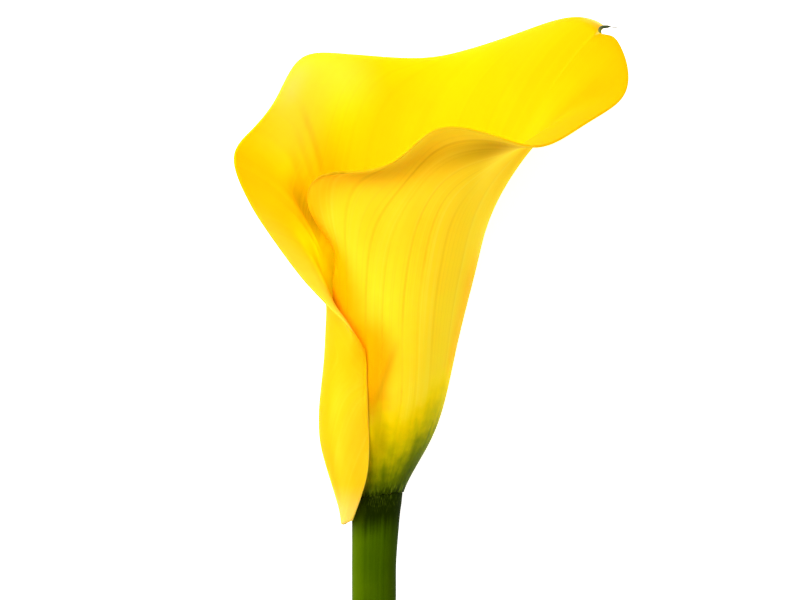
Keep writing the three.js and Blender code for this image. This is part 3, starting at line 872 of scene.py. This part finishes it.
def stem_skin(n, fibres):
    """Clouded green, with painted shadow under the bloom, painted light on its left side and painted
    shade on its right, and pale flecks.
    """
    height = n.attribute("height")
    side = n.attribute("side")
    clouds = n.noise(n.position(), 90, 2)
    skin = n.mix(n.ramp(fibres, 0.3, 0.75), "#344c00", "#3d5600")
    skin = n.mix(n.ramp(clouds, 0.35, 0.7, 0, 0.6), skin, "#486000")
    ragged = n.plus(height, n.times(fibres, -6))
    leaning = n.plus(ragged, n.times(side, 1.2))
    # Painted shadow under the bloom, leaning with the side
    skin = n.mix(n.ramp(leaning, -15, -8, 0, 0.95), skin, "#131d00")
    flecks = n.streaks(n.attribute("turn"), height, STEM_FLECKS, 2)
    fleck = n.times(n.ramp(flecks, 0.5, 0.75), n.ramp(ragged, -8, -5.2, 0, 0.55))
    skin = n.mix(fleck, skin, "#66781a")
    # Painted light on the left side, and painted shade on the right
    skin = n.mix(n.ramp(side, 0.3, 0.95, 0, 0.5), skin, "#5a7400")
    return n.mix(n.ramp(side, -0.3, -1, 0, 0.6), skin, "#1c2a00")


def stem_finish():
    n = Nodes("stem")
    fibres = n.streaks(n.attribute("turn"), n.attribute("height"), FIBRES, 4)
    cut = n.attribute("cut")

    # Cut: pale pith with bundles in it, and a green ring
    spots = n.node("TexVoronoi", Vector=n.position(), Scale=BUNDLES).outputs["Distance"]
    bundles = n.ramp(spots, 0.12, 0.3, 0.75, 0)
    pith = n.mix(bundles, "#c9cf8a", "#7f9440")
    pith = n.mix(n.ramp(n.attribute("middle"), 0.86, 0.97), pith, "#6f8a2a")

    skin = n.mix(cut, stem_skin(n, fibres), pith)
    normal = n.bump(n.plus(fibres, n.times(cut, bundles)), 0.05)
    return n.finish(skin, normal, (0.12, (0.6, 1, 0.1), 0.8), roughness=0.45, gloss=0.003)


def floor_finish():
    n = Nodes("table")
    tone = n.noise(n.position(), 6, 2)
    n.feed(n.shader, Emission_Color="#ffffff", Emission_Strength=0.75)
    return n.finish(n.mix(tone, "#ffffff", "#fcfcfc"), roughness=0.9, gloss=0.1)


# Spathe

def vein_grid(s, t):
    """Which vein each point of the grid lies on, as the s where that vein starts at the base."""
    veins = np.linspace(0, *VEIN_STARTS)
    fade = 1 - (1 - VEIN_SWEEP_LAST) * smoothstep(veins, *VEIN_SWEEP_FADE)
    rows = []
    for height in t:
        past = max(0, height - VEIN_SWEEP_FROM)
        sweep = min(VEIN_SWEEP_MOST, VEIN_SWEEP * past**VEIN_SWEEP_POWER)
        drift = VEIN_DRIFT * smoothstep(height, *VEIN_DRIFTS) * smoothstep(veins, *VEIN_DRIFT_SIDE)
        reached = TIP + (veins + drift - TIP) * (1 - sweep * fade)
        rows.append(np.interp(s, reached, veins))
    slanting = 1 - smoothstep(s, *FLAP_SLANT_END)
    vein = np.stack(rows, 1) + FLAP_SLANT * slanting[:, None] * t[None]
    return vein + sum(size * np.sin(rate * vein + start) for size, rate, start in VEIN_WAVES)


def lip_shade_band(s, t):
    """Strength of the painted shade under the rolled lip, on the outside."""
    middle, strength = np.moveaxis(lip(s), -1, 0)
    within = (s > LIP_SHADE_BAND[0][0]) & (s < LIP_SHADE_BAND[-1][0])
    return np.where(within, np.maximum(strength, 0) * bell(t - middle, LIP_SHADE_BAND_WIDTH), 0)


def wrinkles(s, t):
    """How deep each point of the sheet sinks in the throat's wrinkles."""
    sunk = np.zeros_like(s)
    for at, lean, width, depth, *reach in WRINKLES:
        sunk += depth * bell(s - at - lean * (t - WRINKLE_T), width) * hill(t, *reach)
    return sunk


def from_line(s, line, place):
    """Distance in s from a line, which has its s at start and grows from there."""
    at, growth, start = line
    return s - at - growth * (place - start)


def measures(s, t, height, from_rim):
    """The values by which patches of colour are placed, by name."""
    return {
        "s": s,
        "t": t,
        "height": height,
        "rim": from_rim,
        "by_rim": np.exp(-from_rim / RIM_FADE),
        "fold": from_line(s, FOLD, t) - patches(FOLD_SHIFTS, {"s": s, "height": height}),
        "wing": from_line(s, WING, t),
        "corner": from_line(s, CORNER, np.minimum(t, CORNER[2])),
        "streak": from_line(s, SHADE_STREAK, height),
        "low_front": s - LOW_FRONT_SHIFT * smoothstep(height, *LOW_FRONT_SHIFTS),
        "band": lip_shade_band(s, t),
        "wrinkled": np.clip(wrinkles(s, t) / WRINKLE_FULL, 0, 1),
    }


def share_at(value, reach):
    """How full a patch is at a value."""
    if not reach:
        return value
    if reach[0] == "near":
        _, middle, width = reach
        return bell(value - middle, width)
    return smoothstep(value, *reach) if len(reach) == 2 else hill(value, *reach)


def patches(rows, at):
    """Strength of rows of patches together, where at gives the measures by name."""
    total = 0
    for strength, reaches in rows:
        total += strength * math.prod(share_at(at[name], reach) for name, reach in reaches.items())
    return total


def sheet_middle(s, t, s_grid, t_grid):
    """Middle face of the sheet with its wrinkles and its bend, and the way out at each point."""
    step = 0.002
    middle = sheet_points(s, t)
    along = sheet_points(s, t + step) - sheet_points(s, t - step)
    across = sheet_points(s + step, t) - sheet_points(s - step, t)
    outward = unit(np.cross(along, across))
    middle += wrinkles(s_grid, t_grid)[..., None] * outward
    bend_at, bend_width = BEND_IN_HEIGHTS
    bent = bell(middle[..., 1] - bend_at, bend_width) * smoothstep(s_grid, *BEND_IN_FROM)
    middle[..., 0] += BEND_IN * bent
    return middle, outward


def make_spathe():
    s, t = places(COLUMNS_BY_MARGIN, COLUMN_RUNS), places(ROWS_BY_MARGIN, ROW_RUNS)
    s_grid, t_grid = np.meshgrid(s, t, indexing="ij")
    middle, outward = sheet_middle(s, t, s_grid, t_grid)
    from_first, from_last = to_margins(middle, 0)
    from_base, from_rim = to_margins(middle, 1)
    side = np.minimum(from_first, from_last)
    blunt = lerp(1, BLUNT, smoothstep(s_grid, *BLUNT_FROM))
    edge = np.minimum(side, np.minimum(from_base * blunt, from_rim))

    # Thickness, less where the flap's margin lies on the front
    low = 1 - smoothstep(t_grid, 0, THINS_UP_TO)
    inland = smoothstep(np.minimum(s_grid, 1 - s_grid), 0, MARGIN_WIDTH)
    half = lerp(SHEET_RIM, SHEET_BASE, low * inland) / 2
    height = middle[..., 1]
    by_margin = s_grid < BY_MARGIN
    thinner, thinner_to = THINNER
    at_flap = by_margin * hill(height, *THINNER_HEIGHTS)
    half *= 1 - thinner * at_flap * (1 - smoothstep(from_first, 0, thinner_to))
    rounded = half * np.sqrt(1 - (1 - np.minimum(1, edge / half)) ** 2)

    settled = settle(np.clip(height, SETTLE[0][0], SETTLE[-1][0]))[..., 0] * by_margin
    settled *= 1 - smoothstep(from_first, 0, SETTLE_WIDTH)
    middle = middle - settled[..., None] * outward
    height = middle[..., 1]
    at = measures(s_grid, t_grid, height, from_rim)

    def shares(rows, most=1):
        return np.clip(patches(rows, at), -1, most)

    # Grooves of the veins, and the rolled strip
    vein = vein_grid(s, t)
    from_vein = vein * VEINS - np.round(vein * VEINS)
    groove = VEIN_GROOVE * bell(from_vein, VEIN_GROOVE_WIDTH)
    groove *= smoothstep(edge, 0, VEIN_GROOVE_FROM) * shares(OUTER_VEINING)
    lift_at, lift_width, lift = CURL_LIFT
    dip_at, dip_width, dip = CURL_GROOVE
    curl = lift * bell(from_first - lift_at, lift_width) - dip * bell(from_first - dip_at, dip_width)
    curl *= hill(height, *CURL_HEIGHTS) * by_margin
    outer = middle + (rounded + curl - groove)[..., None] * outward
    inner = middle - (rounded - curl)[..., None] * outward

    columns, rows = len(s), len(t)
    number = np.arange(columns * rows).reshape(columns, rows)
    # The two faces share their points along the margins
    own = np.zeros((columns, rows), bool)
    own[1:-1, 1:-1] = True
    behind = number.copy()
    behind[own] = columns * rows + np.arange(own.sum())
    faces = np.concatenate([grid_faces(number)[:, ::-1], grid_faces(behind)])
    points = np.concatenate([outer.reshape(-1, 3), inner[own]])

    def both(outside, inside=None):
        inside = outside if inside is None else inside
        return np.concatenate([outside.ravel(), inside[own]])

    # The dark foot of the sheet is left out of the flap, whose margin hangs free of the stem
    on_flap = s_grid < FREE_BASE
    attributes = {
        "vein": both(vein),
        "along": both(t_grid),
        "veining": both(shares(OUTER_VEINING), shares(INNER_VEINING)),
        "margin": both(side),
        "hem": both(from_base + NO_HEM * on_flap),
        "green": both(green_reach(s_grid)[..., 0] - height),
        "pale": both(shares(OUTER_PALE) * on_flap, shares(INNER_PALE_AND_HIGHLIGHT)),
        "ochre": both(shares(OUTER_OCHRE_SHADE), shares(INNER_OCHRE_AND_SHADE)),
        "shade": both(shares(OUTER_SHADE)),
        "warmth_and_shading": both(shares(OUTER_WARMTH_AND_SHADE, WARMEST), shares(INNER_WARMTH_AND_SHADING)),
    }
    finishes = [outside_finish(), inside_finish()]
    faces_a_side = len(faces) // 2
    spathe = new_piece("spathe", points, faces, attributes, finishes)
    spathe.data.polygons.foreach_set("material_index", np.repeat([0, 1], faces_a_side))
    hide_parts("spathe")
    return spathe


def tube_along(centres, radii, sides):
    """Points and faces of a round tube with closed ends, through centres in the flower's frame."""
    centres = np.asarray(centres, float)
    ahead = unit(np.gradient(centres, axis=0))
    up = unit(np.cross(ahead, (0.3, 0.2, 1.0)))
    side = np.cross(ahead, up)
    turn = np.linspace(0, 2 * math.pi, sides, endpoint=False)
    ring = np.cos(turn)[None, :, None] * up[:, None] + np.sin(turn)[None, :, None] * side[:, None]
    points = centres[:, None] + ring * np.asarray(radii)[:, None, None]
    number = np.arange(len(centres) * sides).reshape(len(centres), sides)
    after = np.roll(number, -1, axis=1)
    walls = np.stack([number[:-1], after[:-1], after[1:], number[1:]], -1).reshape(-1, 4)
    first, last = number[0][::-1], number[-1]
    faces = walls.tolist() + [first.tolist(), last.tolist()]
    return points.reshape(-1, 3), faces


def make_point():
    """The dark green point at the spathe's tip, drawn out to a dry hair."""
    path = spline([(i / (len(POINT) - 1), *row) for i, row in enumerate(POINT)])
    share = np.linspace(0, 1, POINT_RINGS)
    rows = path(share)
    points, faces = tube_along(rows[:, :3], np.maximum(rows[:, 3], POINT[-1][3]), POINT_SIDES)
    attributes = {"along": np.repeat(share, POINT_SIDES)}
    return new_piece("point", points, faces, attributes, [point_finish()])


# Spadix

def spadix_radius(height):
    up = (height - SPADIX_BASE) / (SPADIX_TOP - SPADIX_BASE)
    to_tip = np.clip((SPADIX_TOP - height) / SPADIX_TIP, 0, 1)
    return (SPADIX_RADIUS - SPADIX_TAPER * up) * np.sqrt(1 - (1 - to_tip) ** 2)


def make_spadix():
    """A core packed with small domed florets, each turned to face outward."""
    draw = random.Random(5)
    points, faces, crown, tint = [], [], [], []
    sides = FLORET_SIDES

    def add_floret(centre, outward, width, shade):
        turn = outward.to_track_quat("Z", "Y").to_matrix()
        start = len(points)
        for spread, lift, crown_share in FLORET_RINGS:
            for angle in np.arange(sides) * math.tau / sides:
                local = Vector((spread * math.cos(angle), spread * math.sin(angle), lift)) * width / 2
                points.append(tuple(centre + turn @ local))
                crown.append(crown_share)
        dimple, dimple_crown = FLORET_DIMPLE
        points.append(tuple(centre + turn @ Vector((0, 0, dimple * width / 2))))
        crown.append(dimple_crown)
        tint.extend([shade] * (len(points) - start))
        top = len(points) - 1 - sides
        for ring in range(start, top, sides):
            for k in range(sides):
                after = ring + (k + 1) % sides
                faces.append((ring + k, after, after + sides, ring + k + sides))
        for k in range(sides):
            faces.append((top + k, top + (k + 1) % sides, top + sides))

    step = 0.05
    golden = math.pi * (3 - math.sqrt(5))
    room_under, room_over = FLORET_STARTS
    height, number = SPADIX_BASE + room_under, 0
    while height < SPADIX_TOP - room_over:
        radius = float(spadix_radius(height))
        lean = (float(spadix_radius(height - step)) - radius) / step
        angle = golden * number
        outward = Vector((-math.sin(angle), lean, math.cos(angle))).normalized()
        middle = SPADIX_X + SPADIX_LEAN * (height - SPADIX_BASE)
        centre = Vector((middle - radius * math.sin(angle), height, radius * math.cos(angle)))
        width = FLORET * draw.uniform(*FLORET_WIDTHS)
        add_floret(centre, outward, width, draw.random())
        number += 1
        height += FLORET**2 / (math.tau * max(radius, FLORET_CROWDING) * math.hypot(1, lean))

    heights = np.linspace(SPADIX_BASE, SPADIX_TOP - step, CORE_RINGS)
    middles = SPADIX_X + SPADIX_LEAN * (heights - SPADIX_BASE)
    centres = np.stack([middles, heights, np.zeros_like(heights)], -1)
    radii = np.maximum(spadix_radius(heights), CORE_RADIUS)
    core_points, core_faces = tube_along(centres, radii, CORE_SIDES)
    start = len(points)
    points += [tuple(point) for point in core_points]
    faces += [tuple(start + k for k in face) for face in core_faces]
    crown += [0.0] * len(core_points)
    tint += [0.5] * len(core_points)

    attributes = {"crown": crown, "tint": tint}
    piece = new_piece("spadix", points, faces, attributes, [spadix_finish()])
    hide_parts("spadix")
    return piece


# Stem

def stem_axis(height):
    past = np.maximum(0, STEM_BEND_FROM - height)
    bend = STEM_BEND_FROM - STEM_END
    return STEM_X + STEM_LEAN * past, math.tan(TILT) * past * past / (2 * bend)


def stem_rings(angle):
    """Rings from the stem's neck down to the middle of its cut: the points of each, their
    heights, whether it lies on the cut, and its share of the cut's radius."""
    top = spline([(-height, x, radius) for height, x, radius in STEM_TOP])
    neck_x = float(tube(0.0)[0])
    first, straight = STEM_TOP[0][0], STEM_TOP[-1][0]
    shoulder = collar_at(angle) - CLEARANCE
    shelf = STEM_SHELF * hill(angle, *SHELF_ANGLES)
    rings = []

    def add(x, z, heights, radii, cut=0.0, middle=1.0):
        heights = np.broadcast_to(heights, angle.shape)
        ring = np.stack([x - radii * sin_deg(angle), heights, z + radii * cos_deg(angle)], -1)
        rings.append((ring, heights, cut, middle))

    for inset, drop in NECK_ROUNDING:
        add(neck_x, 0, NECK_TOP - drop, NECK_RADIUS - inset)
    add(neck_x, 0, shoulder, NECK_RADIUS)
    x, radius = STEM_TOP[0][1:]
    for share, drop in SHOULDER:
        radii = lerp(NECK_RADIUS, radius + shelf, share)
        add(lerp(neck_x, x, share), 0, shoulder - drop, radii)
    for height in np.linspace(first - SHOULDER_DEPTH, straight, STEM_TOP_RINGS)[1:]:
        x, radius = top(-height)
        add(x, 0, height, radius + shelf * (1 - smoothstep(-height, *SHELF_DEPTH)))
    for height in np.linspace(straight, STEM_END + CUT_ROOM, STEM_RINGS)[1:]:
        add(*stem_axis(height), height, STEM_RADIUS)
    x, z = stem_axis(STEM_END)
    slant = STEM_CUT_SLOPE * STEM_RADIUS * cos_deg(angle)
    add(x, z, STEM_END + slant + CUT_EDGE, STEM_RADIUS)
    for share in CUT_RINGS:
        bulge = CUT_BULGE * math.sin(math.pi * share)
        add(x, z, STEM_END + slant * share - bulge, STEM_RADIUS * share, 1.0, share)
    return rings


def make_stem():
    angle = np.linspace(0, 360, STEM_SIDES, endpoint=False)
    rings = stem_rings(angle)
    grid = np.array([ring for ring, *_ in rings])
    number = np.arange(len(rings) * STEM_SIDES).reshape(-1, STEM_SIDES)
    after = np.roll(number, -1, axis=1)
    faces = np.stack([number[:-1], number[1:], after[1:], after[:-1]], -1).reshape(-1, 4).tolist()
    faces += [number[0].tolist(), number[-1][::-1].tolist()]
    attributes = {
        "turn": np.tile(np.abs(((angle + 180) % 360) - 180) / 360, len(rings)),
        "side": np.tile(sin_deg(angle), len(rings)),
        "height": np.concatenate([heights for _, heights, _, _ in rings]),
        "cut": np.repeat([cut for *_, cut, _ in rings], STEM_SIDES),
        "middle": np.repeat([middle for *_, middle in rings], STEM_SIDES),
    }
    piece = new_piece("stem", grid.reshape(-1, 3), faces, attributes, [stem_finish()])
    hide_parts("stem")
    return piece


# Studio

def make_floor():
    reach = TABLE_REACH
    mesh = bpy.data.meshes.new("table")
    corners = [(-reach, -reach, 0), (reach, -reach, 0), (reach, reach, 0), (-reach, reach, 0)]
    mesh.from_pydata(corners, [], [(0, 1, 2, 3)])
    mesh.materials.append(floor_finish())
    add_object("table", mesh)


def make_light():
    data = bpy.data.lights.new("key", "AREA")
    data.shape = "DISK"
    data.size = LIGHT_SIZE
    data.energy = LIGHT_POWER
    light = add_object("key", data)
    light.location = LIGHT_PLACE
    aim = Vector(LIGHT_TARGET) - Vector(LIGHT_PLACE)
    light.rotation_euler = aim.to_track_quat("-Z", "Y").to_euler()


def make_world():
    world = bpy.data.worlds.new("studio")
    bpy.context.scene.world = world
    world.use_nodes = True
    background = world.node_tree.nodes["Background"]
    background.inputs["Color"].default_value = (1, 1, 1, 1)
    background.inputs["Strength"].default_value = WORLD_STRENGTH
    bpy.context.scene.view_settings.view_transform = "Standard"


def make_camera():
    data = bpy.data.cameras.new("camera")
    data.sensor_width = SENSOR
    data.lens = SENSOR * CAMERA_PLACE[2] / FIELD_WIDTH
    data.clip_start, data.clip_end = CLIPS
    camera = add_object("camera", data)
    camera.location = lay(CAMERA_PLACE)
    camera.rotation_euler = (TILT, 0, 0)
    bpy.context.scene.camera = camera


make_camera()
make_spathe()
make_point()
make_spadix()
make_stem()
make_floor()
make_light()
make_world()

bpy.context.view_layer.update()
